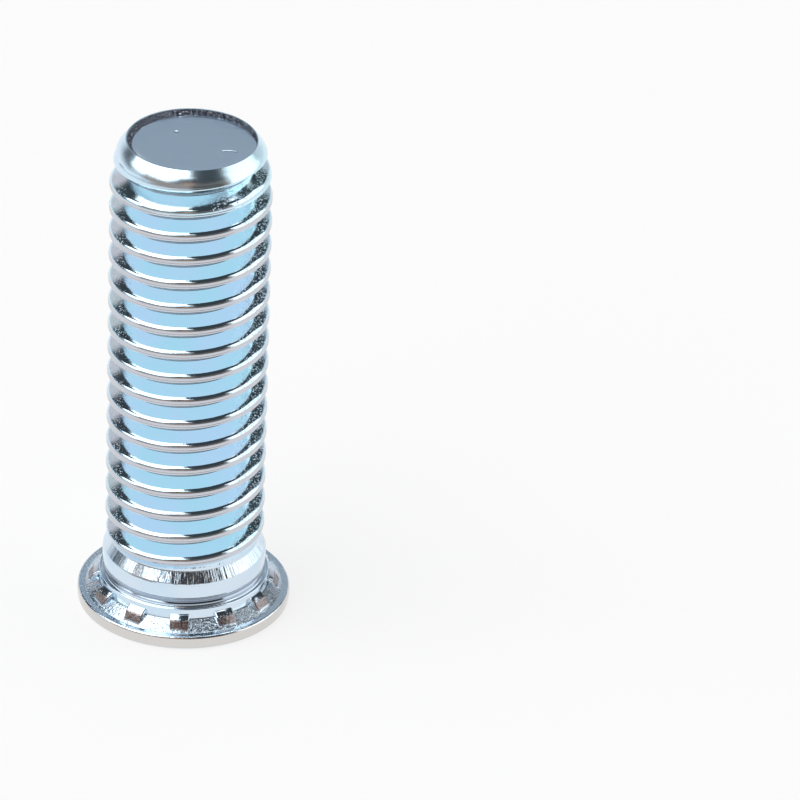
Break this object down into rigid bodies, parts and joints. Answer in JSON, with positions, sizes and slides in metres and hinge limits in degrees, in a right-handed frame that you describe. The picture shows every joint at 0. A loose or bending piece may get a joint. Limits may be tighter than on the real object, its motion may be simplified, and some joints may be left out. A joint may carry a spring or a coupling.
{
  "type": "self-clinching stud",
  "caption": "Flush-head self-clinching stud: thin flat round head, clinching ribs and an undercut beneath it, a plain shank and a long metric thread with a bevelled end.",
  "frame": {"origin": "centre of the head's flat outer face, which lies flush with the sheet once the stud is pressed in", "axes": "+Z along the stud's axis, from the head towards the bevelled end of the thread; +Y is away from the viewer in the picture, +X to the right"},
  "size_m": [0.0066, 0.0066, 0.0158],
  "materials": {
    "zinc_plate": "bright clear zinc plating on steel, slightly blue, with fine rolling and drawing marks"
  },
  "bodies": {
    "root": {"stud": "zinc_plate"}
  },
  "joints": []
}
